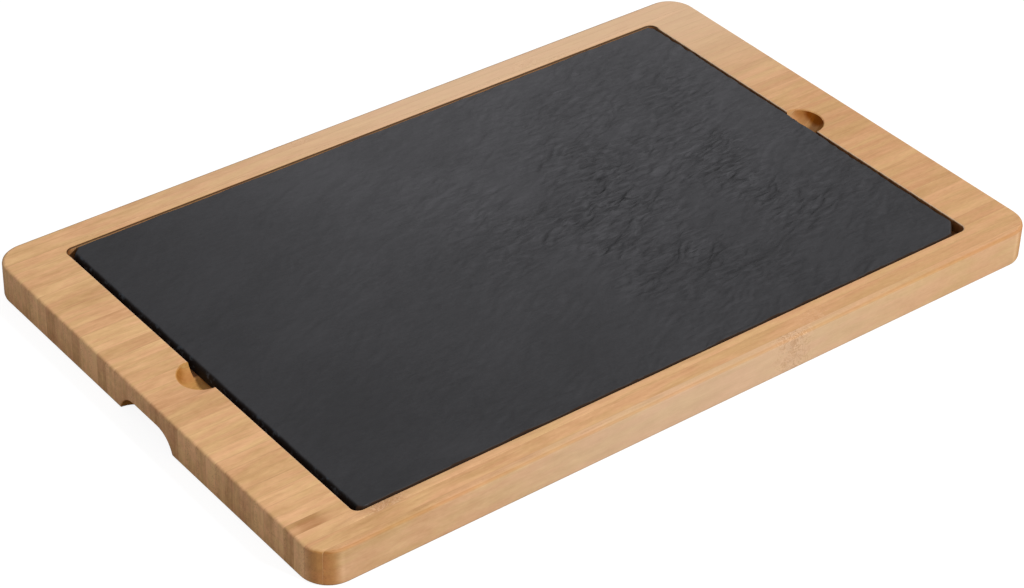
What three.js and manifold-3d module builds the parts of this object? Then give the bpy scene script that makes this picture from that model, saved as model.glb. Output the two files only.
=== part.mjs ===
// Bamboo serving board with a slate plate that lifts out of a recess in its top.
//
// The board is a side-pressed bamboo panel: strips on edge, glued face to face across the width, then cut to
// size, milled and sanded. So each strip is a piece of its own, with its share of every milled feature.
// Millimetres. The origin is the middle of the underside. +X runs along the strips, +Z is up, and the front
// long side faces -Y.

import * as THREE from 'three';
import { mergeVertices } from 'three/addons/utils/BufferGeometryUtils.js';
import Module from 'manifold-3d';

const wasm = await Module();
wasm.setup();

// Board
const boardLength = 330;
const boardWidth = 211;
const boardThickness = 15;
const boardCorner = 11.5;
const edgeRound = 1.2;

// Bamboo strips. The saw cut the panel to width through its front and back strips. A leftover thinner than
// thinnestStrip stays on the strip before it.
const stripThickness = 5.8;
const frontStripThickness = 3.3;
const thinnestStrip = 2;

// Recess for the slate, from the board's ends and long sides
const endRail = 23.5;
const sideRail = 13.25;
const recessDepth = 5.2;
const recessCorner = 3;

// One ball-nosed cutter mills the finger scoops in the top and the finger grips in the underside.
const cutterRadius = 9.2;
const scoopDepth = 6.8;
const gripHeight = 7.3;
const gripTravel = 15.4;

// Sanding takes this much off the rims of the recess, scoops and grips.
const rimEase = 0.5;

// Slate plate: its gaps in the recess, its clipped corners and its hand-dressed edge, a row of flake scars.
// dressingBulge is how far up its height the dressed edge has come at half its width.
const slateThickness = 5;
const slateGap = { left: 2, right: 0.9, front: 0.8, back: 0.4 };
const slateClip = { frontLeft: 2, frontRight: 6, backRight: 1.5, backLeft: 3 };
const dressingWidth = { left: 1.3, right: 0.5, front: 0.5, back: 0.6 };
const dressingHeight = 1.8;
const dressingBulge = 0.7;
const flakeLength = 9;
const flakeSteps = 4;
const flakeDepth = 0.4;
const edgeWander = 0.15;

// Colours, and how much the strips differ in lightness
const bambooColor = 0xd2a87a;
const bambooToneSpread = 0.06;
const slateColor = 0x3c3c3e;

// Fineness of the round faces
const cornerSegments = 8;
const edgeSegments = 3;
const ballSegments = 40;

// Places that follow from the sizes above
const endX = boardLength / 2;
const sideY = boardWidth / 2;
const wallX = endX - endRail;
const wallY = sideY - sideRail;
const recessFloor = boardThickness - recessDepth;

// How far a cutting solid reaches past the face that it cuts through
const overshoot = 2;

// Same pseudo-random number from 0 to 1 for the same seed, on every run
function chance(seed) {
  const wave = Math.sin(seed * 127.1 + 311.7) * 43758.5453;
  return wave - Math.floor(wave);
}

// Outlines

function rectangle(left, front, right, back) {
  return new THREE.Shape([
    new THREE.Vector2(left, front),
    new THREE.Vector2(right, front),
    new THREE.Vector2(right, back),
    new THREE.Vector2(left, back),
  ]);
}

function roundedRectangle(halfLength, halfWidth, radius) {
  const x = halfLength - radius;
  const y = halfWidth - radius;
  return new THREE.Shape()
    .absarc(x, y, radius, 0, Math.PI / 2)
    .absarc(-x, y, radius, Math.PI / 2, Math.PI)
    .absarc(-x, -y, radius, Math.PI, Math.PI * 1.5)
    .absarc(x, -y, radius, Math.PI * 1.5, Math.PI * 2);
}

// Solids and geometries

function toSolid(geometry) {
  const bare = geometry.clone();
  bare.deleteAttribute('normal');
  bare.deleteAttribute('uv');
  const closed = mergeVertices(bare);
  return new wasm.Manifold(new wasm.Mesh({
    numProp: 3,
    vertProperties: new Float32Array(closed.attributes.position.array),
    triVerts: new Uint32Array(closed.index.array),
  }));
}

function toGeometry(solid) {
  const mesh = solid.getMesh();
  const geometry = new THREE.BufferGeometry();
  geometry.setAttribute('position', new THREE.BufferAttribute(mesh.vertProperties, mesh.numProp));
  geometry.setIndex(new THREE.BufferAttribute(mesh.triVerts, 1));
  geometry.computeVertexNormals();
  return geometry;
}

// Plate between two heights with square edges
function plate(shape, bottom, top) {
  const geometry = new THREE.ExtrudeGeometry(shape, {
    depth: top - bottom,
    bevelEnabled: false,
    curveSegments: cornerSegments,
  });
  return geometry.translate(0, 0, bottom);
}

// Closed body through a stack of like outlines, the lowest first
function loft(rings) {
  const count = rings[0].outline.length;
  const position = [];
  for (const { outline, z } of rings) {
    outline.forEach((point) => position.push(point.x, point.y, z));
  }
  const index = [];
  for (let level = 0; level + 1 < rings.length; level += 1) {
    for (let i = 0; i < count; i += 1) {
      const a = level * count + i;
      const b = level * count + ((i + 1) % count);
      index.push(a, b, b + count, a, b + count, a + count);
    }
  }
  const topStart = (rings.length - 1) * count;
  for (const [a, b, c] of THREE.ShapeUtils.triangulateShape(rings[0].outline, [])) {
    index.push(a, c, b);
  }
  for (const [a, b, c] of THREE.ShapeUtils.triangulateShape(rings.at(-1).outline, [])) {
    index.push(topStart + a, topStart + b, topStart + c);
  }
  const geometry = new THREE.BufferGeometry();
  geometry.setAttribute('position', new THREE.Float32BufferAttribute(position, 3));
  geometry.setIndex(index);
  geometry.computeVertexNormals();
  return geometry;
}

// The board before it is seen as strips

// Panel cut to size, with rounded corners and sanded edges
function panel() {
  const geometry = new THREE.ExtrudeGeometry(roundedRectangle(endX, sideY, boardCorner), {
    depth: boardThickness - 2 * edgeRound,
    bevelThickness: edgeRound,
    bevelSize: edgeRound,
    bevelOffset: -edgeRound,
    bevelSegments: edgeSegments,
    curveSegments: cornerSegments,
  });
  return toSolid(geometry.translate(0, 0, edgeRound));
}

// Sloping cut that eases a rim. The rim lies at height 0 and faces up. The outline is the foot of the slope.
function easing(outline, segments) {
  return new THREE.ExtrudeGeometry(outline, {
    depth: overshoot,
    bevelThickness: rimEase,
    bevelSize: rimEase,
    bevelSegments: 1,
    curveSegments: segments,
  });
}

// Recess with upright walls
function recessCut() {
  const outline = roundedRectangle(wallX, wallY, recessCorner);
  const well = plate(outline, recessFloor, boardThickness + overshoot);
  const rim = easing(outline, cornerSegments).translate(0, 0, boardThickness);
  return toSolid(well).add(toSolid(rim));
}

// How wide the cutter's ball is, from its middle line, at a distance from the ball's middle
function ballReach(distance) {
  return Math.sqrt(cutterRadius ** 2 - distance ** 2);
}

// Scoop beside the slate's end, for the finger that lifts it: the ball's middle is on the recess wall.
function scoopCut(end) {
  const height = boardThickness + cutterRadius - scoopDepth;
  const ball = new THREE.SphereGeometry(cutterRadius, ballSegments, ballSegments / 2);
  ball.rotateX(Math.PI / 2).translate(end * wallX, 0, height);
  const reach = ballReach(height - boardThickness + rimEase);
  const rim = easing(new THREE.Shape().absarc(0, 0, reach, 0, Math.PI * 2), ballSegments / 2);
  rim.translate(end * wallX, 0, boardThickness);
  return toSolid(ball).add(toSolid(rim));
}

// Outline of a ball's track along Y
function track(reach) {
  return new THREE.Shape()
    .absarc(0, gripTravel / 2, reach, 0, Math.PI)
    .absarc(0, -gripTravel / 2, reach, Math.PI, Math.PI * 2);
}

// Grip under the board's end, for the fingers that lift the board: the ball runs along the end's lower edge.
function gripCut(end) {
  const height = gripHeight - cutterRadius;
  const ball = new THREE.CapsuleGeometry(cutterRadius, gripTravel, ballSegments / 4, ballSegments);
  ball.translate(end * endX, 0, height);
  const lowerRim = easing(track(ballReach(rimEase - height)), ballSegments / 4);
  lowerRim.rotateX(Math.PI).translate(end * endX, 0, 0);
  const endRim = easing(track(ballReach(rimEase)), ballSegments / 4);
  endRim.rotateY(end * Math.PI / 2).translate(end * endX, 0, height);
  return toSolid(ball).add(toSolid(lowerRim)).add(toSolid(endRim));
}

function milledBoard() {
  let board = panel().subtract(recessCut());
  for (const end of [-1, 1]) {
    board = board.subtract(scoopCut(end));
    board = board.subtract(gripCut(end));
  }
  return board;
}

// Places of the glue lines across the width, with both long sides of the board
function glueLines() {
  const lines = [-sideY];
  let next = -sideY + frontStripThickness;
  while (next < sideY - thinnestStrip) {
    lines.push(next);
    next += stripThickness;
  }
  return [...lines, sideY];
}

// Slate plate

// Corners of the slate. share is how far across the dressed edge they lie, from 0 at its foot to 1 at the top.
function slateCorners(share) {
  const left = -wallX + slateGap.left + share * dressingWidth.left;
  const right = wallX - slateGap.right - share * dressingWidth.right;
  const front = -wallY + slateGap.front + share * dressingWidth.front;
  const back = wallY - slateGap.back - share * dressingWidth.back;
  return [
    new THREE.Vector2(left + slateClip.frontLeft, front),
    new THREE.Vector2(right - slateClip.frontRight, front),
    new THREE.Vector2(right, front + slateClip.frontRight),
    new THREE.Vector2(right, back - slateClip.backRight),
    new THREE.Vector2(right - slateClip.backRight, back),
    new THREE.Vector2(left + slateClip.backLeft, back),
    new THREE.Vector2(left, back - slateClip.backLeft),
    new THREE.Vector2(left, front + slateClip.frontLeft),
  ];
}

// Points along a side of the slate. Each flake scar bites inwards between two cusps, and the cusps wander.
function dressedSide(from, to, flakes, bite, seed) {
  const along = to.clone().sub(from);
  const inwards = new THREE.Vector2(-along.y, along.x).normalize();
  const points = [];
  for (let flake = 0; flake < flakes; flake += 1) {
    for (let step = 0; step < flakeSteps; step += 1) {
      const across = step / flakeSteps;
      const scar = bite * chance(seed + flake + 0.5) * 4 * across * (1 - across);
      const wander = THREE.MathUtils.lerp(chance(seed + flake), chance(seed + flake + 1), across);
      const point = from.clone().addScaledVector(along, (flake + across) / flakes);
      points.push(point.addScaledVector(inwards, scar + edgeWander * wander));
    }
  }
  return points;
}

// Slate outline at a share of the dressed edge, with flake scars of the given bite. All have the same flakes.
function slateOutline(share, bite) {
  const foot = slateCorners(0);
  const corners = slateCorners(share);
  return corners.flatMap((corner, side) => {
    const next = (side + 1) % corners.length;
    const flakes = Math.max(1, Math.round(foot[side].distanceTo(foot[next]) / flakeLength));
    return dressedSide(corner, corners[next], flakes, bite, 100 * side);
  });
}

// Split flat below, with square edges there, and dressed from above
function slatePlate() {
  const shoulder = slateThickness - dressingHeight;
  const geometry = loft([
    { outline: slateOutline(0, 0), z: 0 },
    { outline: slateOutline(0, 0), z: shoulder },
    { outline: slateOutline(0.5, flakeDepth), z: shoulder + dressingHeight * dressingBulge },
    { outline: slateOutline(1, flakeDepth), z: slateThickness },
  ]);
  const material = new THREE.MeshStandardMaterial({ color: slateColor, roughness: 0.75, metalness: 0 });
  const mesh = new THREE.Mesh(geometry, material);
  mesh.name = 'slate_plate';
  mesh.position.z = recessFloor;
  return mesh;
}

// Bamboo strips

function bambooMaterial(number) {
  const color = new THREE.Color(bambooColor);
  color.offsetHSL(0, 0, bambooToneSpread * (chance(number) - 0.5));
  return new THREE.MeshStandardMaterial({ color, roughness: 0.55, metalness: 0 });
}

function bambooStrips() {
  const board = milledBoard();
  const lines = glueLines();
  const strips = new THREE.Group();
  for (let number = 1; number < lines.length; number += 1) {
    const slab = rectangle(-endX - overshoot, lines[number - 1], endX + overshoot, lines[number]);
    const strip = board.intersect(toSolid(plate(slab, -overshoot, boardThickness + overshoot)));
    const mesh = new THREE.Mesh(toGeometry(strip), bambooMaterial(number));
    mesh.name = `bamboo_strip_${String(number).padStart(2, '0')}`;
    strips.add(mesh);
  }
  return strips;
}

const servingBoard = new THREE.Group();
servingBoard.add(bambooStrips());
servingBoard.add(slatePlate());

export default servingBoard;
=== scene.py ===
"""Looks of the bamboo serving board and its loose slate plate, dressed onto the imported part.

Metres, in the part's own frame: the origin is the middle of the underside, +X runs along the bamboo strips,
+Z is up, and the front long side faces -Y. Sizes of surface detail are in millimetres, as they were read.
"""

import math

import bmesh
import bpy
import numpy as np
from mathutils import Matrix, Vector


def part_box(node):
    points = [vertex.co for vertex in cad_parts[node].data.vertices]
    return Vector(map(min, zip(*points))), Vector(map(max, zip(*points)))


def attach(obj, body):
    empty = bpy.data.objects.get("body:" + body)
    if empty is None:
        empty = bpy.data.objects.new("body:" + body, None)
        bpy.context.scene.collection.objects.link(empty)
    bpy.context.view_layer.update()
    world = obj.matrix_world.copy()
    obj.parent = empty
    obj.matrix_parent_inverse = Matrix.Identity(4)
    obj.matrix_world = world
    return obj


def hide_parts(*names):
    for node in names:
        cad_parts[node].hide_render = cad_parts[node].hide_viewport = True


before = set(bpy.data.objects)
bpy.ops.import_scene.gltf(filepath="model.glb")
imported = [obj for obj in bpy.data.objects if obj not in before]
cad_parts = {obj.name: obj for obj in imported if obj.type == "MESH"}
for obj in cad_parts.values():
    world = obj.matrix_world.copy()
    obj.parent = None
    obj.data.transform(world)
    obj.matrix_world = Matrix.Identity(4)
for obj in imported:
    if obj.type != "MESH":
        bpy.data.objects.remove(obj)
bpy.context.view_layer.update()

MM = 0.001

# Camera that took the photograph
LENS_MM = 103.22
SENSOR_MM = 36.0
NEAR_CLIP = 0.05
AZIMUTH = math.radians(-39.077)
ELEVATION = math.radians(35.758)
ROLL = math.radians(2.007)
DISTANCE = 1.09142
AIM = Vector((-0.01128, -0.00944, 0.0))

# Light: a soft box above the front side, a little to its right, and an even glow all round. An irradiance
# of 1 shows a colour as it is written. The length of the key vector is the irradiance square to it.
KEY = Vector((0.22, -0.62, 0.50))
KEY_DISTANCE = 4.0
KEY_SIZE = 0.45
AMBIENT = 0.5

# Floor: the grey that throws light back on the board, and the grey and the glow that the camera sees
FLOOR_SIZE = 8.0
FLOOR_HEIGHT = -0.0002
FLOOR_COLOR = 0.44
FLOOR_SHADE = 0.2
FLOOR_GLOW = 0.9

# Edges that turn by more than this are shaded as sharp
SHARP_ANGLE = math.radians(50)
WELD_DISTANCE = 1e-6

# Bamboo, as linear colours
PALE_BAMBOO = (0.790, 0.470, 0.235)
DARK_BAMBOO = (0.450, 0.215, 0.080)
# Paler bamboo that the strips are mixed towards: painted light at the back right, and paler in the front's
# middle
PALED_BAMBOO = (0.76, 0.54, 0.36)
BUNDLE_COLOR = (0.36, 0.18, 0.07)
KNUCKLE_RIDGE_COLOR = (0.84, 0.55, 0.34)
KNUCKLE_LINE_COLOR = (0.42, 0.22, 0.10)
GLUE_COLOR = (0.30, 0.15, 0.06)
# Painted highlight along the eased rim of the recess
RIM_HIGHLIGHT_COLOR = (0.92, 0.69, 0.49)

# Gloss of the oiled faces, and of the eased edges and the scoops, which are worn dull
BAMBOO_GLOSS = 0.5
WORN_GLOSS = 0.05

# Tints, which multiply the colour of the bamboo under them. The right scoop takes only a share of its tint.
PINK_TINT = (1.03, 0.98, 0.99)
YELLOW_TINT = (0.98, 1.01, 0.93)
# Painted shade on the eased outer edges, which takes off the soft box's highlight there
EDGE_SHADE_TINT = (0.80, 0.75, 0.70)
FRONT_EDGE_SHADE_TINT = (0.79, 0.75, 0.70)
WIDE_FACE_TINT = (0.99, 1.08, 1.20)
END_CUT_TINT = (0.96, 0.91, 0.85)
SLANT_CUT_TINT = (0.66, 0.47, 0.18)
SCOOP_TINT = (0.85, 0.78, 0.56)
RIGHT_SCOOP_SHARE = 0.35
# Painted shade on the scoop walls that face left, away from the soft box
SCOOP_WALL_SHADE_TINT = (0.54, 0.30, 0.05)
# Painted shade on the walls of the recess and on the floor at their foot
RECESS_SHADE_TINT = (0.43, 0.31, 0.20)
# Painted shade on the back rim of the recess, for the shaded gap behind the slate
BACK_RIM_SHADE_TINT = (0.17, 0.14, 0.11)

# Patterns in the bamboo: their sizes along, across and up the strip, in millimetres
DRIFT_SIZES = (34, 14, 14)
CURL_SIZES = (4.5, 3.2, 3.2)
STREAK_SIZES = (130, 2.6, 4.5)
BAR_SIZES = (11, 2.5, 3.4)
GROUND_SIZES = (22, 0.4, 0.4)
SPECK_SIZES = (2.2, 0.8, 0.8)
END_STREAK_SIZES = (500, 1.4, 40)
HUE_SIZES = (24, 4.2, 5.0)
BUNDLE_SIZES = (38, 0.85, 0.85)
KNUCKLE_SIZES = (3.0, 2.4, 2.4)

# How far the fibres wander, in millimetres
DRIFT_REACH = 3.0
CURL_REACH = 9.0

# Tone of a strip, from 0 for pale to 1 for dark, and how much each pattern changes it. At the right end of
# the board the strips differ less and their bars are fainter. Then the most that a strip is paled, in the
# middle of the front side and, as painted light, at the back right, and the depth of its grain in
# millimetres.
USUAL_TONE = 0.42
TONE_JITTER = 0.10
STREAK_STRENGTH = 0.50
BAR_STRENGTH = 0.78
GROUND_STRENGTH = 0.22
SPECK_STRENGTH = 0.30
END_STREAK_STRENGTH = 0.90
TONE_RISE_PER_MM = 0.0005
FRONT_TONE_RISE_PER_MM = -0.0003
RIGHT_FIGURE_SHARE = 0.5
FRONT_PALING = 0.34
BACK_PAINTED_LIGHT = 0.60
GRAIN_DEPTH = 0.035

# Strips by number from the front. Number 1 shows its wide face as the front side of the board.
FRONT_STRIP = 1
ODD_TONES = {
    1: 0.04, 3: -0.12, 4: 0.12, 5: -0.12, 7: -0.12, 8: 0.08, 9: 0.10, 10: 0.08, 12: -0.12, 15: -0.15,
    16: 0.14, 17: 0.18, 18: 0.18, 19: 0.14, 23: -0.12, 24: 0.08, 25: -0.16, 26: -0.10, 27: 0.08, 30: 0.16,
    32: -0.12, 33: 0.10,
}

# Dark blotches: place along the strip, reach and strength
BLOTCHES = {2: (-135.0, 12.0, 0.20), 3: (-131.0, 14.0, 0.38), 4: (-157.0, 9.0, 0.38)}
NO_BLOTCH = (0.0, 1.0, 0.0)

# Knuckles, where the cane had a joint: place along the strip in millimetres. Others fall where chance puts
# them. Only the one on the front side and the one at the front left show plainly.
KNUCKLES = {1: 42.0, 2: 56.0, 3: -131.0, 35: 90.0, 36: 78.0, 37: -30.0}
PLAIN_KNUCKLES = {1: 1.0, 3: 0.9}
FAINT_KNUCKLE = 0.35
CHANCE_REACH = 120.0
KNUCKLE_REACH = 13.0

# Milled places, in millimetres. One ball-nosed cutter made the scoops beside the slate and the grips
# underneath. The recess is given by its half length and half width with its eased rim.
CUTTER_RADIUS = 9.2
CUT_MARGIN = (0.35, 0.10)
SCOOP_MIDDLE = Vector((141.5, 0.0, 17.4))
GRIP_MIDDLE = Vector((165.0, 0.0, -1.9))
GRIP_HALF_TRAVEL = 7.7
RECESS_HALF = Vector((143.0, 93.5))
RECESS_FLOOR = 9.8
# Band of painted shade on the recess floor at the foot of its walls
RECESS_FOOT_BAND = (10.0, 3.0)
RIM_FOOT = 14.4
# Band where the rim of the recess turns into its back rim, which carries painted shade
BACK_RIM_BAND = (3.5, 6.5)

# Slate, in millimetres: clipped corners, and the slope of flake scars round its dressed edge
SLATE_CLIP = {"left_front": 2.0, "right_front": 6.0, "right_back": 1.5, "left_back": 3.0}
DRESSING_WIDTH = {"left": 1.3, "right": 0.5, "front": 0.5, "back": 0.6, "corner": 0.9}
DRESSING_HEIGHT = 1.8
DRESSING_POWER = 1.7
FLAKE_SHARE = 0.75
FLAKES = ((13.0, 0.25), (5.0, 0.15))
GRID_STEP = 0.6
RIM_STEPS = (0.15, 0.15, 0.2, 0.25, 0.3, 0.35, 0.4, 0.5)

# Split face of the slate: direction of its cleft, middle and reach of its rough part, highest crest and
# deepest hollow
CLEFT_ANGLE = math.radians(22.0)
ROUGH_MIDDLE = (72.0, -2.0)
ROUGH_REACH = (100.0, 80.0)
ROUGH_SLANT = 0.2
HIGHEST_CREST = 0.15
DEEPEST_HOLLOW = 0.75

# Relief of the split face, in millimetres: sizes along and across the cleft, then heights. Ripples run along
# the plate. The warp bends the others, and the ridges stand where their noise is above its floor.
PATCH_SIZES = (24, 24)
SWELL_SIZES = (70, 40)
WARP_SIZES = (18, 18)
RIPPLE_SIZES = (7, 2.6)
LAYER_SIZES = (26, 8)
CREASE_SIZES = (13, 4.2)
RIDGE_SIZES = (30, 4.0)
WARP_REACH = 3.0
LAYER_COUNT = 2.2
LEDGE_STEEPNESS = 5
RIDGE_FLOOR = 0.45
SWELL_HEIGHT = 0.06
LEDGE_HEIGHT = 0.42
CREASE_HEIGHT = 0.34
RIPPLE_HEIGHT = 0.24
RIDGE_HEIGHT = 1.4
ROUGH_SINK = 0.45
FACE_SINK = 0.05

# Patterns in the slate's colour and gloss: their sizes, and where they change, in millimetres
CLOUD_SIZES = (38, 30, 30)
GRAIN_SIZES = (1.1, 0.8, 0.8)
CLEFT_SIZES = (6.0, 1.9, 1.9)
CHIP_SIZES = (2.0, 2.4, 2.0)
# Bands of the painted sheen on the slate, paler to the back and to the right
SHEEN_BACK_BAND = (-118.0, 101.0)
SHEEN_RIGHT_BAND = (-151.0, 10.0)
# Band near the front where the dressed edge takes a brown painted shade
FRONT_EDGE_SHADE_BAND = (-80.0, -88.0)
CHIPPED_BAND = (-131.0, -137.5)
CLEFT_DEPTH = 0.9

# Slate, as linear colours
# The slate's colours at its left end, front and back: the paler back is painted sheen
SLATE_LEFT_COLOR = (0.0365, 0.0360, 0.0387)
SLATE_FRONT_COLOR = (0.0405, 0.0399, 0.0429)
SLATE_BACK_SHEEN_COLOR = (0.0667, 0.0657, 0.0707)
# Painted shade on the dressed edge and sides of the slate, brown near the front
SLATE_EDGE_SHADE_COLOR = (0.008, 0.007, 0.007)
SLATE_FRONT_EDGE_SHADE_COLOR = (0.034, 0.017, 0.009)
SLATE_CHIP_COLOR = (0.042, 0.050, 0.060)
SLATE_GLOSS = 0.12

rng = np.random.default_rng(7)


class Shader:
    """One material and short ways to add its nodes."""

    def __init__(self, name):
        self.material = bpy.data.materials.new(name)
        self.material.use_nodes = True
        self.tree = self.material.node_tree
        self.surface = self.tree.nodes["Principled BSDF"]

    def add(self, kind, inputs=None, **settings):
        node = self.tree.nodes.new(kind)
        for name, value in settings.items():
            setattr(node, name, value)
        for socket, value in (inputs or {}).items():
            self.feed(node.inputs[socket], value)
        return node

    def feed(self, socket, value):
        if isinstance(value, bpy.types.NodeSocket):
            self.tree.links.new(value, socket)
        else:
            socket.default_value = value

    def set_surface(self, socket, value):
        self.feed(self.surface.inputs[socket], value)

    def math(self, operation, first, second=0.0, clamp=False):
        node = self.add("ShaderNodeMath", {0: first, 1: second}, operation=operation, use_clamp=clamp)
        return node.outputs[0]

    def plus(self, first, second):
        return self.math("ADD", first, second)

    def minus(self, first, second):
        return self.math("SUBTRACT", first, second)

    def times(self, first, second):
        return self.math("MULTIPLY", first, second)

    def most(self, first, second):
        return self.math("MAXIMUM", first, second)

    def size(self, value):
        """The value without its sign."""
        return self.math("ABSOLUTE", value)

    def centred(self, noise, strength):
        """Noise from 0 to 1 turned into a change about 0."""
        return self.times(self.minus(noise, 0.5), strength)

    def ramp(self, value, start, end, low=0.0, high=1.0):
        inputs = {"Value": value, "From Min": start, "From Max": end, "To Min": low, "To Max": high}
        return self.add("ShaderNodeMapRange", inputs, interpolation_type="SMOOTHSTEP").outputs[0]

    def vector(self, operation, first, second):
        return self.add("ShaderNodeVectorMath", {0: first, 1: second}, operation=operation).outputs[0]

    def resized(self, vector, factor):
        return self.add("ShaderNodeVectorMath", {0: vector, "Scale": factor}, operation="SCALE").outputs[0]

    def length(self, x, y, z):
        vector = self.add("ShaderNodeCombineXYZ", {"X": x, "Y": y, "Z": z}).outputs[0]
        return self.add("ShaderNodeVectorMath", {0: vector}, operation="LENGTH").outputs["Value"]

    def split(self, vector):
        return self.add("ShaderNodeSeparateXYZ", {0: vector}).outputs

    def position(self, shift=(0.0, 0.0, 0.0)):
        """Place on the object in millimetres, moved by the shift."""
        place = self.add("ShaderNodeTexCoord").outputs["Object"]
        return self.vector("ADD", self.vector("MULTIPLY", place, (1 / MM,) * 3), shift)

    def normal(self):
        return self.split(self.add("ShaderNodeNewGeometry").outputs["Normal"])

    def noise(self, place, sizes, detail=2.0, distortion=0.0, output="Fac"):
        """Noise with the given sizes along X, Y and Z."""
        vector = self.vector("DIVIDE", place, sizes)
        inputs = {"Vector": vector, "Scale": 1.0, "Detail": detail, "Distortion": distortion}
        return self.add("ShaderNodeTexNoise", inputs).outputs[output]

    def mix(self, factor, first, second, blend="MIX"):
        node = self.add("ShaderNodeMix", data_type="RGBA", blend_type=blend)
        self.feed(node.inputs["Factor"], factor)
        for name, value in (("A", first), ("B", second)):
            colour = value if isinstance(value, bpy.types.NodeSocket) else (*value, 1.0)
            self.feed(next(s for s in node.inputs if s.name == name and s.type == "RGBA"), colour)
        return next(s for s in node.outputs if s.type == "RGBA")

    def tinted(self, mask, colour, tint):
        """The colour, multiplied by the tint where the mask is 1."""
        return self.mix(mask, colour, self.mix(1.0, colour, tint, "MULTIPLY"))

    def bump(self, height, depth_mm):
        node = self.add("ShaderNodeBump", {"Height": height, "Strength": 1.0, "Distance": depth_mm * MM})
        self.set_surface("Normal", node.outputs[0])


# Bamboo


class Strip(Shader):
    """Material of one bamboo strip on edge, with the places and masks that its patterns share."""

    def __init__(self, number, front, back, knuckle):
        super().__init__(f"bamboo_{number:02d}")
        self.number = number
        self.front = front
        self.back = back
        self.at = self.split(self.position())
        self.turned = self.normal()
        self.cut_end = self.ramp(self.size(self.turned["X"]), 0.5, 0.95)
        self.eased_edge = self.ramp(self.size(self.times(self.turned["Y"], self.turned["Z"])), 0.08, 0.40)
        strength = PLAIN_KNUCKLES.get(number, FAINT_KNUCKLE)
        knuckle_distance = self.size(self.minus(self.at["X"], knuckle))
        self.joint = self.ramp(knuckle_distance, 0.8, KNUCKLE_REACH, strength, 0.0)
        shift = rng.uniform(200, 900, 3)
        self.place = self.position((shift[0], 0.0, shift[2]))
        self.fibre = self.fibre_place()
        self.ground = self.pattern(GROUND_SIZES, 3.0)

    def wander(self, sizes, reach, detail=2.0, distortion=0.0):
        """Shift across and up the strip, by up to half the reach either way."""
        noise = self.noise(self.place, sizes, detail, distortion, "Color")
        return self.vector("MULTIPLY", self.vector("SUBTRACT", noise, (0.5,) * 3), (0.0, reach, reach))

    def fibre_place(self):
        """Place in the strip as its fibres run: they drift a little, and curl round the knuckle."""
        drift = self.wander(DRIFT_SIZES, DRIFT_REACH)
        curl = self.resized(self.wander(CURL_SIZES, CURL_REACH, 3.0, 0.6), self.joint)
        return self.vector("ADD", self.vector("ADD", self.place, drift), curl)

    def pattern(self, sizes, detail=2.0, distortion=0.0):
        """Noise that follows the fibres."""
        return self.noise(self.fibre, sizes, detail, distortion)


def strip_tone(strip, odd_tone):
    """How dark the strip is: long streaks, bars, ground and specks. Cut ends are streaked upright."""
    along = strip.at["X"]
    figure_share = strip.ramp(along, -150.0, 150.0, 1.0, RIGHT_FIGURE_SHARE)
    bar = strip.centred(strip.pattern(BAR_SIZES), BAR_STRENGTH)
    end_streak = strip.centred(strip.noise(strip.place, END_STREAK_SIZES), END_STREAK_STRENGTH)
    blotch_middle, blotch_reach, blotch_strength = BLOTCHES.get(strip.number, NO_BLOTCH)
    blotch_distance = strip.size(strip.minus(along, blotch_middle))
    rise = FRONT_TONE_RISE_PER_MM if strip.number == FRONT_STRIP else TONE_RISE_PER_MM
    changes = (
        strip.times(figure_share, odd_tone),
        strip.times(strip.cut_end, odd_tone),
        strip.times(strip.cut_end, end_streak),
        strip.times(figure_share, bar),
        strip.centred(strip.pattern(STREAK_SIZES), STREAK_STRENGTH),
        strip.centred(strip.ground, GROUND_STRENGTH),
        strip.centred(strip.pattern(SPECK_SIZES, 1.0), SPECK_STRENGTH),
        strip.ramp(blotch_distance, 1.0, blotch_reach, blotch_strength, 0.0),
        strip.times(along, rise),
    )
    tone = USUAL_TONE
    for change in changes:
        tone = strip.plus(change, tone)
    return strip.most(tone, 0.0)


def paled_share(strip):
    """How far the strip is paled: most at the back right, as painted light, and in the middle of the front
    side.
    """
    if strip.number == FRONT_STRIP:
        return strip.ramp(strip.size(strip.at["X"]), 20.0, 140.0, FRONT_PALING, 0.0)
    to_back = strip.ramp(strip.at["Y"], 0.0, 105.0, 0.0, BACK_PAINTED_LIGHT)
    to_right = strip.ramp(strip.at["X"], -170.0, 60.0)
    return strip.times(to_back, to_right)


def fibre_bundles(strip):
    """1 in the fibre bundles, 0 between them. They are thicker towards one face of the strip."""
    faces = (strip.front, strip.back) if strip.number % 3 else (strip.back, strip.front)
    thickness = strip.ramp(strip.at["Y"], *faces, 0.20, 0.42)
    vector = strip.vector("DIVIDE", strip.fibre, BUNDLE_SIZES)
    middle_distance = strip.add("ShaderNodeTexVoronoi", {"Vector": vector, "Scale": 1.0}).outputs["Distance"]
    return strip.math("DIVIDE", strip.minus(thickness, middle_distance), 0.16, clamp=True)


def milled_masks(strip):
    """1 in the scoops, 0 elsewhere, and 1 in the grips, 0 elsewhere."""
    x, y, z = (strip.size(strip.at[axis]) for axis in "XYZ")
    past_travel = strip.most(strip.minus(y, GRIP_HALF_TRAVEL), 0.0)
    scoop = strip.length(strip.minus(x, SCOOP_MIDDLE.x), y, strip.minus(z, SCOOP_MIDDLE.z))
    grip = strip.length(strip.minus(x, GRIP_MIDDLE.x), past_travel, strip.minus(z, GRIP_MIDDLE.z))
    outer, inner = (CUTTER_RADIUS + margin for margin in CUT_MARGIN)
    return strip.ramp(scoop, outer, inner), strip.ramp(grip, outer, inner)


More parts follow.
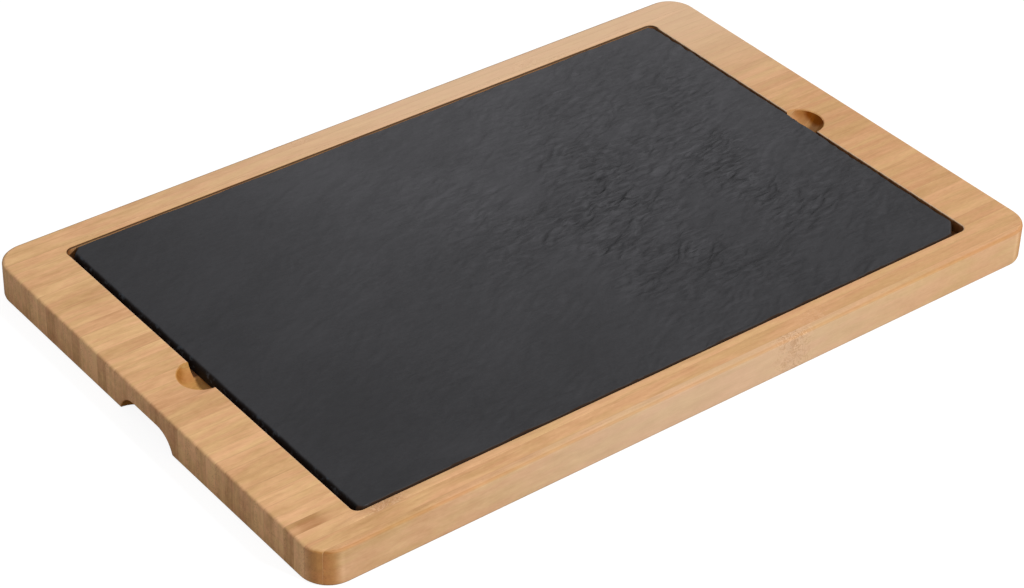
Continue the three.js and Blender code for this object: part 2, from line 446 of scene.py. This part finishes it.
def tint_cuts_and_shade(strip, colour, scoop, grip):
    """Cut fibres drink more oil, most of all where they are cut on the slant. Painted shade darkens the
    eased edges and the scoop walls that face left.
    """
    x, y = strip.turned["X"], strip.turned["Y"]
    wide_face = strip.ramp(strip.size(y), 0.75, 0.95)
    round_corner = strip.ramp(strip.size(strip.times(x, y)), 0.15, 0.45, 0.0, 0.8)
    # Painted shade on the scoop walls that face left
    scoop_wall_shade = strip.times(scoop, strip.ramp(x, -0.62, -0.80))
    oiled = strip.times(scoop, strip.ramp(strip.at["X"], -100.0, 100.0, 1.0, RIGHT_SCOOP_SHARE))
    # Painted shade on the eased edges
    edge_shade_tint = FRONT_EDGE_SHADE_TINT if strip.number == FRONT_STRIP else EDGE_SHADE_TINT
    colour = strip.tinted(strip.eased_edge, colour, edge_shade_tint)
    colour = strip.tinted(wide_face, colour, WIDE_FACE_TINT)
    colour = strip.tinted(strip.cut_end, colour, END_CUT_TINT)
    colour = strip.tinted(oiled, colour, SCOOP_TINT)
    colour = strip.tinted(scoop_wall_shade, colour, SCOOP_WALL_SHADE_TINT)
    return strip.tinted(strip.most(grip, round_corner), colour, SLANT_CUT_TINT)


def recess_masks(strip, scoop):
    """Masks of the recess: its eased rim but for the back, for a painted highlight; the back rim, for
    painted shade; and walls with the floor's rim, for painted shade.
    """
    x, y = (strip.size(strip.at[axis]) for axis in "XY")
    z = strip.at["Z"]
    inside_x = strip.math("LESS_THAN", x, RECESS_HALF.x)
    inside_y = strip.math("LESS_THAN", y, RECESS_HALF.y)
    inside = strip.times(strip.times(inside_x, inside_y), strip.minus(1.0, scoop))

    near_top = strip.math("GREATER_THAN", z, RIM_FOOT)
    slanting = strip.ramp(strip.turned["Z"], 0.95, 0.85)
    before_back = strip.ramp(strip.at["Y"], *(RECESS_HALF.y - band for band in BACK_RIM_BAND))
    rim = strip.times(near_top, slanting)
    front_rim = strip.times(rim, before_back)
    back_rim_shade = strip.minus(rim, front_rim)

    wall_shade = strip.ramp(strip.size(strip.turned["Z"]), 0.3, 0.1)
    on_floor = strip.math("LESS_THAN", strip.size(strip.minus(z, RECESS_FLOOR)), 0.1)
    near_end = strip.ramp(x, *(RECESS_HALF.x - band for band in RECESS_FOOT_BAND))
    near_side = strip.ramp(y, *(RECESS_HALF.y - band for band in RECESS_FOOT_BAND))
    foot = strip.times(on_floor, strip.most(near_end, near_side))
    return [strip.times(inside, mask) for mask in (front_rim, back_rim_shade, strip.most(wall_shade, foot))]


def bamboo_material(number, front, back, odd_tone, knuckle):
    """Bamboo strip on edge between two glue lines."""
    strip = Strip(number, front, back, knuckle)
    colour = strip.mix(strip_tone(strip, odd_tone), PALE_BAMBOO, DARK_BAMBOO)
    hue = strip.ramp(strip.pattern(HUE_SIZES), 0.35, 0.65)
    colour = strip.mix(1.0, colour, strip.mix(hue, PINK_TINT, YELLOW_TINT), "MULTIPLY")
    # Paler in the middle of the front side, and painted light towards the back right
    colour = strip.mix(paled_share(strip), colour, PALED_BAMBOO)

    # Fibre bundles: fine dark lines along the strip, and dots on its cut ends
    bundle = fibre_bundles(strip)
    bundle_share = strip.ramp(strip.cut_end, 0.0, 1.0, 0.14, 0.40)
    colour = strip.mix(strip.times(bundle, bundle_share), colour, BUNDLE_COLOR)
    scoop, grip = milled_masks(strip)
    colour = tint_cuts_and_shade(strip, colour, scoop, grip)

    # Knuckle: pale curly ridges with brown lines beside them
    figure = strip.pattern(KNUCKLE_SIZES, 3.0, 1.4)
    ridge = strip.times(strip.ramp(strip.size(strip.minus(figure, 0.53)), 0.06, 0.0), strip.joint)
    line = strip.times(strip.ramp(strip.size(strip.minus(figure, 0.43)), 0.05, 0.0), strip.joint)
    colour = strip.mix(strip.times(ridge, 0.60), colour, KNUCKLE_RIDGE_COLOR)
    colour = strip.mix(strip.times(line, 0.70), colour, KNUCKLE_LINE_COLOR)

    # Glue line, a thin darker seam, then the recess: a painted highlight on its rim, painted shade on its
    # back rim, and painted shade on its walls and the foot of its floor
    half = (back - front) / 2
    middle_distance = strip.size(strip.minus(strip.at["Y"], front + half))
    colour = strip.mix(strip.ramp(middle_distance, half - 0.22, half, 0.0, 0.20), colour, GLUE_COLOR)
    rim, back_rim_shade, wall_shade = recess_masks(strip, scoop)
    # Painted highlight on the recess rim, but for the back
    colour = strip.mix(strip.times(rim, 0.65), colour, RIM_HIGHLIGHT_COLOR)
    # Painted shade on the back rim
    colour = strip.tinted(back_rim_shade, colour, BACK_RIM_SHADE_TINT)
    # Painted shade on the recess walls and the foot of its floor
    colour = strip.tinted(wall_shade, colour, RECESS_SHADE_TINT)

    strip.set_surface("Base Color", colour)
    strip.set_surface("Roughness", strip.ramp(strip.ground, 0.25, 0.75, 0.46, 0.62))
    dull = strip.most(strip.eased_edge, scoop)
    strip.set_surface("Specular IOR Level", strip.ramp(dull, 0.0, 1.0, BAMBOO_GLOSS, WORN_GLOSS))
    height = strip.minus(strip.times(strip.ground, 0.7), strip.times(bundle, 0.5))
    strip.bump(strip.plus(height, strip.times(ridge, 1.5)), GRAIN_DEPTH)
    return strip.material


def smooth(node):
    """Round faces are shaded round and flat ones flat, and no vertex of the CAD node moves."""
    mesh = node.data
    if "custom_normal" in mesh.attributes:
        mesh.attributes.remove(mesh.attributes["custom_normal"])
    mesh.polygons.foreach_set("use_smooth", [True] * len(mesh.polygons))
    node.modifiers.new("weld", "WELD").merge_threshold = WELD_DISTANCE
    node.modifiers.new("split", "EDGE_SPLIT").split_angle = SHARP_ANGLE
    node.modifiers.new("normals", "WEIGHTED_NORMAL")


def dress_strips():
    strips = sorted(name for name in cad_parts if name.startswith("bamboo_strip_"))
    for number, name in enumerate(strips, 1):
        low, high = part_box(name)
        odd_tone = ODD_TONES.get(number, 0.0) + TONE_JITTER * rng.uniform(-0.5, 0.5)
        knuckle = KNUCKLES.get(number, rng.uniform(-CHANCE_REACH, CHANCE_REACH))
        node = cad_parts[name]
        node.data.materials.clear()
        node.data.materials.append(bamboo_material(number, low.y / MM, high.y / MM, odd_tone, knuckle))
        smooth(node)


# Slate


def lattice_noise(x, y, seed):
    """Smooth noise from -1 to 1, with one random value per unit square."""
    values = np.random.default_rng(seed).uniform(-1, 1, (256, 256))
    column, row = np.floor(x).astype(int), np.floor(y).astype(int)
    u, v = x - column, y - row
    u, v = u * u * (3 - 2 * u), v * v * (3 - 2 * v)

    def corner(i, j):
        return values[(column + i) % 256, (row + j) % 256]

    near = corner(0, 0) * (1 - u) + corner(1, 0) * u
    far = corner(0, 1) * (1 - u) + corner(1, 1) * u
    return near * (1 - v) + far * v


def layered_noise(x, y, sizes, seed, layers):
    """Noise of the given sizes along X and Y, with finer and lower layers over it."""
    x, y = x / sizes[0], y / sizes[1]
    return sum(lattice_noise(x * 2**k, y * 2**k, seed + k) / 2**k for k in range(layers))


def rough_share(x, y):
    """How rough the split face is, from 0 to about 1: most of all right of the middle, and in patches."""
    away_x = x - ROUGH_MIDDLE[0]
    away_y = y - ROUGH_MIDDLE[1] - ROUGH_SLANT * away_x
    middle_distance = (away_x / ROUGH_REACH[0]) ** 2 + (away_y / ROUGH_REACH[1]) ** 2
    patchy = 0.70 + 0.60 * layered_noise(x, y, PATCH_SIZES, 47, 3)
    return np.clip(0.14 + 0.86 * np.exp(-middle_distance) * patchy, 0.1, 1.2)


def cleft_relief(x, y):
    """Height of the split face in millimetres: swells, ledges where layers end, creases, ripples, ridges."""
    along = x * math.cos(CLEFT_ANGLE) + y * math.sin(CLEFT_ANGLE)
    across = y * math.cos(CLEFT_ANGLE) - x * math.sin(CLEFT_ANGLE)
    swell = layered_noise(along, across, SWELL_SIZES, 11, 2)
    warp = WARP_REACH * layered_noise(along, across, WARP_SIZES, 23, 2)
    ripple = layered_noise(x + warp, y - warp, RIPPLE_SIZES, 67, 2)
    along, across = along + warp, across + warp
    layer = LAYER_COUNT * layered_noise(along, across, LAYER_SIZES, 59, 4)
    ledge = np.floor(layer) + np.clip((layer - np.floor(layer)) * LEDGE_STEEPNESS, 0, 1)
    crease = 1 - 2 * np.abs(layered_noise(along, across, CREASE_SIZES, 31, 2))
    ridge = np.clip(layered_noise(along, across, RIDGE_SIZES, 83, 2) - RIDGE_FLOOR, 0, 1)
    rough = LEDGE_HEIGHT * ledge + CREASE_HEIGHT * crease + RIPPLE_HEIGHT * ripple + RIDGE_HEIGHT * ridge
    height = SWELL_HEIGHT * swell + rough_share(x, y) * (rough - ROUGH_SINK) - FACE_SINK
    return np.clip(height, -DEEPEST_HOLLOW, HIGHEST_CREST)


def flake_width(u, reach, seed):
    """Width of the dressed edge in millimetres along a side: flake scars that meet in cusps, over chips."""
    chance = np.random.default_rng(seed)
    share = np.full_like(u, FLAKE_SHARE)
    for length, depth in FLAKES:
        sizes = chance.uniform(0.25, 1.0, 256)
        cell = u / length + 50
        index = np.floor(cell).astype(int)
        place = cell - index
        share = np.maximum(share, FLAKE_SHARE + depth * sizes[index % 256] * 4 * place * (1 - place))
    return reach * share


def slate_sides(left, front, right, back):
    """A point, the direction inwards and the dressed width for each side, then for each clipped corner."""
    clip, width = SLATE_CLIP, DRESSING_WIDTH
    slant = math.sqrt(0.5)
    sides = [
        ((left, 0), (1, 0), width["left"]),
        ((right, 0), (-1, 0), width["right"]),
        ((0, front), (0, 1), width["front"]),
        ((0, back), (0, -1), width["back"]),
    ]
    corners = [
        ((left + clip["left_front"], front), (slant, slant), width["corner"]),
        ((right - clip["right_front"], front), (-slant, slant), width["corner"]),
        ((right - clip["right_back"], back), (-slant, -slant), width["corner"]),
        ((left + clip["left_back"], back), (slant, -slant), width["corner"]),
    ]
    return sides, corners


def grid_lines(low, high):
    """Places of the mesh lines across the slate, closer together at its rim."""
    rim = np.cumsum((0.0,) + RIM_STEPS)
    count = round((high - low - 2 * rim[-1]) / GRID_STEP) + 1
    inner = np.linspace(low + rim[-1], high - rim[-1], count)
    return np.concatenate([low + rim[:-1], inner, (high - rim[:-1])[::-1]])


def flat_top(xs, ys, corners):
    """Grid of faces at height 0, with the corners of the slate clipped off."""
    form = bmesh.new()
    rows = [[form.verts.new((x, y, 0)) for x in xs] for y in ys]
    for lower, upper in zip(rows, rows[1:]):
        for i in range(len(xs) - 1):
            form.faces.new((lower[i], lower[i + 1], upper[i + 1], upper[i]))
    for (x, y), (nx, ny), _ in corners:
        everything = form.verts[:] + form.edges[:] + form.faces[:]
        plane = {"plane_co": (x, y, 0), "plane_no": (nx, ny, 0)}
        bmesh.ops.bisect_plane(form, geom=everything, clear_inner=True, **plane)
    return form


def dressed_drop(x, y, edges):
    """How far the dressed edge lies under the split face, in millimetres."""
    drop = np.zeros_like(x)
    for seed, ((px, py), (nx, ny), reach) in enumerate(edges, 101):
        inwards = (x - px) * nx + (y - py) * ny
        width = flake_width((y - py) * nx - (x - px) * ny, reach, seed)
        slope = np.clip(1 - inwards / width, 0, 1) ** DRESSING_POWER
        drop = np.maximum(drop, DRESSING_HEIGHT * slope)
    return drop


def close_below(form, base):
    """Upright sides down to the base, and a flat underside."""
    rim = [edge for edge in form.edges if edge.is_boundary]
    for made in bmesh.ops.extrude_edge_only(form, edges=rim)["geom"]:
        if isinstance(made, bmesh.types.BMVert):
            made.co.z = base
    bmesh.ops.edgeloop_fill(form, edges=[edge for edge in form.edges if edge.is_boundary])
    bmesh.ops.recalc_face_normals(form, faces=form.faces)


def slate_mesh(low, high):
    """Split and dressed top face on a grid, square lower edges and a flat underside."""
    left, front, base = low / MM
    right, back, top = high / MM
    sides, corners = slate_sides(left, front, right, back)
    form = flat_top(grid_lines(left, right), grid_lines(front, back), corners)
    x, y = np.array([vert.co[:2] for vert in form.verts]).T
    for vert, height in zip(form.verts, cleft_relief(x, y) - dressed_drop(x, y, sides + corners)):
        vert.co.z = top + height
    close_below(form, base)
    bmesh.ops.scale(form, vec=(MM,) * 3, verts=form.verts)

    mesh = bpy.data.meshes.new("slate_cleft")
    form.to_mesh(mesh)
    form.free()
    mesh.polygons.foreach_set("use_smooth", [True] * len(mesh.polygons))
    mesh.set_sharp_from_angle(angle=SHARP_ANGLE)
    x, y = np.array([vert.co[:2] for vert in mesh.vertices]).T / MM
    mesh.attributes.new("rough", "FLOAT", "POINT").data.foreach_set("value", rough_share(x, y))
    return mesh


def slate_colour_with_sheen(shader, at):
    """Painted sheen: dark at the left end, and elsewhere paler to the back."""
    to_back = shader.ramp(at["Y"], *SHEEN_BACK_BAND)
    to_right = shader.ramp(at["X"], *SHEEN_RIGHT_BAND)
    return shader.mix(to_right, SLATE_LEFT_COLOR, shader.mix(to_back, SLATE_FRONT_COLOR, SLATE_BACK_SHEEN_COLOR))


def slate_material():
    """Oiled slate, mottled, with painted sheen, clefts painted paler on crests and darker in hollows,
    a dressed edge painted dark as shade, and a few paler chips at the left end.
    """
    shader = Shader("slate")
    place = shader.position()
    at = shader.split(place)
    normal = shader.normal()
    upright = normal["Z"]
    cloud = shader.noise(place, CLOUD_SIZES, 4.0)
    grain = shader.noise(place, GRAIN_SIZES, 4.0)
    rough = shader.add("ShaderNodeAttribute", attribute_name="rough").outputs["Fac"]
    cleft = shader.centred(shader.noise(place, CLEFT_SIZES, 4.0, 0.6), rough)

    mottle = shader.plus(shader.times(cloud, 0.7), shader.times(grain, 0.3))
    mottle = shader.ramp(mottle, 0.35, 0.65, 0.90, 1.10)
    mottle = shader.minus(mottle, shader.times(rough, 0.08))
    # Painted light and shade: the colour follows the cleft bump, paler on its crests and darker in its
    # hollows
    mottle = shader.plus(mottle, shader.times(cleft, 1.6))
    colour = shader.resized(slate_colour_with_sheen(shader, at), mottle)
    # Painted shade on the dressed edge: near black, and brown where it faces the front near the front side
    front_rim = shader.ramp(at["Y"], *FRONT_EDGE_SHADE_BAND)
    to_front = shader.times(front_rim, shader.ramp(normal["Y"], -0.2, -0.5))
    edge_shade_colour = shader.mix(to_front, SLATE_EDGE_SHADE_COLOR, SLATE_FRONT_EDGE_SHADE_COLOR)
    colour = shader.mix(shader.ramp(upright, 0.98, 0.38), colour, edge_shade_colour)

    chip = shader.ramp(shader.noise(place, CHIP_SIZES, 3.0), 0.52, 0.70)
    left_end = shader.ramp(at["X"], *CHIPPED_BAND)
    slanting = shader.ramp(upright, 0.99, 0.93)
    colour = shader.mix(shader.times(shader.times(chip, left_end), slanting), colour, SLATE_CHIP_COLOR)

    shader.set_surface("Base Color", colour)
    shader.set_surface("Roughness", shader.ramp(cloud, 0.3, 0.7, 0.50, 0.64))
    shader.set_surface("Specular IOR Level", SLATE_GLOSS)
    shader.bump(shader.plus(shader.times(grain, 0.06), cleft), CLEFT_DEPTH)
    return shader.material


def dress_slate():
    slate = bpy.data.objects.new("slate_cleft", slate_mesh(*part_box("slate_plate")))
    bpy.context.scene.collection.objects.link(slate)
    slate.data.materials.append(slate_material())
    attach(slate, "slate")
    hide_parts("slate_plate")


# Floor, light and camera


def lay_floor():
    """Pale floor that the camera sees almost white, with the shadow of the board on it."""
    bpy.ops.mesh.primitive_plane_add(size=FLOOR_SIZE, location=(0, 0, FLOOR_HEIGHT))
    floor = bpy.context.object
    floor.name = "floor"
    shader = Shader("floor")
    nodes = shader.tree.nodes
    nodes.remove(shader.surface)
    unseen = shader.add("ShaderNodeBsdfDiffuse", {"Color": (FLOOR_COLOR,) * 3 + (1.0,)})
    shade = shader.add("ShaderNodeBsdfDiffuse", {"Color": (FLOOR_SHADE,) * 3 + (1.0,)})
    glow = shader.add("ShaderNodeEmission", {"Strength": FLOOR_GLOW})
    seen = shader.add("ShaderNodeAddShader", {0: shade.outputs[0], 1: glow.outputs[0]})
    camera_ray = shader.add("ShaderNodeLightPath").outputs["Is Camera Ray"]
    blend = shader.add("ShaderNodeMixShader", {0: camera_ray, 1: unseen.outputs[0], 2: seen.outputs[0]})
    shader.feed(nodes["Material Output"].inputs["Surface"], blend.outputs[0])
    floor.data.materials.append(shader.material)


def light_scene():
    """White background that lights the scene at the ambient level, and the soft box."""
    world = bpy.data.worlds.new("studio")
    bpy.context.scene.world = world
    world.use_nodes = True
    tree = world.node_tree
    camera_ray = tree.nodes.new("ShaderNodeLightPath").outputs["Is Camera Ray"]
    strength = tree.nodes.new("ShaderNodeMix")
    tree.links.new(camera_ray, strength.inputs["Factor"])
    strength.inputs["A"].default_value = AMBIENT
    strength.inputs["B"].default_value = 1.0
    background = tree.nodes["Background"]
    background.inputs["Color"].default_value = (1.0, 1.0, 1.0, 1.0)
    tree.links.new(strength.outputs["Result"], background.inputs["Strength"])

    lamp = bpy.data.lights.new("soft_box", "AREA")
    lamp.size = KEY_SIZE
    lamp.energy = KEY.length * (math.pi * KEY_DISTANCE) ** 2
    key = bpy.data.objects.new("soft_box", lamp)
    key.location = KEY.normalized() * KEY_DISTANCE
    key.rotation_euler = KEY.to_track_quat("Z", "Y").to_euler()
    bpy.context.scene.collection.objects.link(key)


def place_camera():
    lens = bpy.data.cameras.new("camera")
    lens.lens = LENS_MM
    lens.sensor_width = SENSOR_MM
    lens.clip_start = NEAR_CLIP
    camera = bpy.data.objects.new("camera", lens)
    bpy.context.scene.collection.objects.link(camera)
    flat = math.cos(ELEVATION)
    back = Vector((math.sin(AZIMUTH) * flat, -math.cos(AZIMUTH) * flat, math.sin(ELEVATION)))
    turn = back.to_track_quat("Z", "Y").to_matrix().to_4x4() @ Matrix.Rotation(ROLL, 4, "Z")
    camera.matrix_world = Matrix.Translation(AIM + back * DISTANCE) @ turn
    bpy.context.scene.camera = camera


dress_strips()
dress_slate()
lay_floor()
light_scene()
place_camera()
bpy.context.scene.view_settings.view_transform = "Standard"
